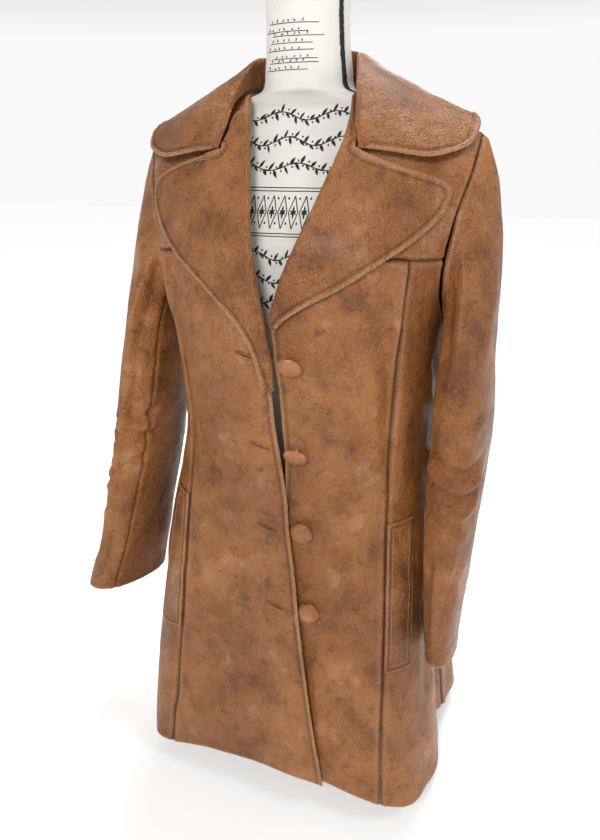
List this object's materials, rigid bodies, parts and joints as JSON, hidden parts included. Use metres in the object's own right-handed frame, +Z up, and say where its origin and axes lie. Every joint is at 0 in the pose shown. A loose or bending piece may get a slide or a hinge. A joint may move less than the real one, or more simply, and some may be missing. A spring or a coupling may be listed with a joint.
{
  "type": "leather coat on a dress form",
  "caption": "Worn thigh-length leather coat with wide rounded collar and lapels, princess seams, welt pockets and covered buttons, standing on a limbless dress form with a round base.",
  "frame": {"origin": "middle of the dress form's base, on its underside", "axes": "+Z up, the coat's front faces -Y, +X is the wearer's left"},
  "size_m": [0.5482, 0.399, 1.0003],
  "materials": {
    "leather_panel": "worn cognac leather with fine grain, creases and pale scuffs",
    "leather_trim": "worn cognac leather, glossier on the turned collar and lapels, with piped pale edges",
    "leather_button": "leather covered, rubbed paler on the dome",
    "form_cover": "off-white woven cover with a dark seam tape and small ornament",
    "form_wood": "black lacquered wood",
    "form_metal": "black satin paint"
  },
  "bodies": {
    "root": {"front_left": "leather_panel", "front_right": "leather_panel", "side_front_left": "leather_panel", "side_front_right": "leather_panel", "yoke_left": "leather_panel", "yoke_right": "leather_panel", "back_left": "leather_panel", "back_right": "leather_panel", "sleeve_top_left": "leather_panel", "sleeve_under_left": "leather_panel", "sleeve_top_right": "leather_panel", "sleeve_under_right": "leather_panel", "lapel_left": "leather_trim", "lapel_right": "leather_trim", "collar": "leather_trim", "pocket_welt_left": "leather_trim", "pocket_welt_right": "leather_trim", "button_1": "leather_button", "button_2": "leather_button", "button_3": "leather_button", "button_4": "leather_button", "form_torso": "form_cover", "form_cap": "form_wood", "form_post": "form_metal", "form_base": "form_metal"}
  },
  "joints": []
}
